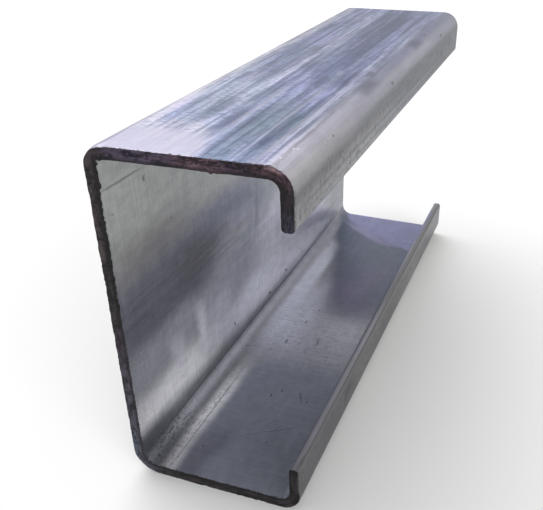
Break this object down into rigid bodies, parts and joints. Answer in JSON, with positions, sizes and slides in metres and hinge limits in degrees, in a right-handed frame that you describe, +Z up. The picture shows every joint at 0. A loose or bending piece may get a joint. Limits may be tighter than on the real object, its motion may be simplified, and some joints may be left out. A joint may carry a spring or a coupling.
{
  "type": "c-channel",
  "caption": "Short sawn length of lipped steel C-channel: flat web, two equal flanges with inturned lips and rounded bends, for framing, purlins and rails.",
  "frame": {"origin": "bottom of the lower flange, midway between the web's and the lips' outer faces and midway along the length", "axes": "+Y along the channel, from the dark skewed saw cut to the square end; +X from the web towards the open side and the lips; +Z up, along the web"},
  "size_m": [0.05, 0.1864, 0.1],
  "materials": {
    "formed_steel": "dull bare mill finish with rolling streaks and smudges; ends sawn, the front one dark with burr"
  },
  "bodies": {
    "root": {"c_channel": "formed_steel"}
  },
  "joints": []
}
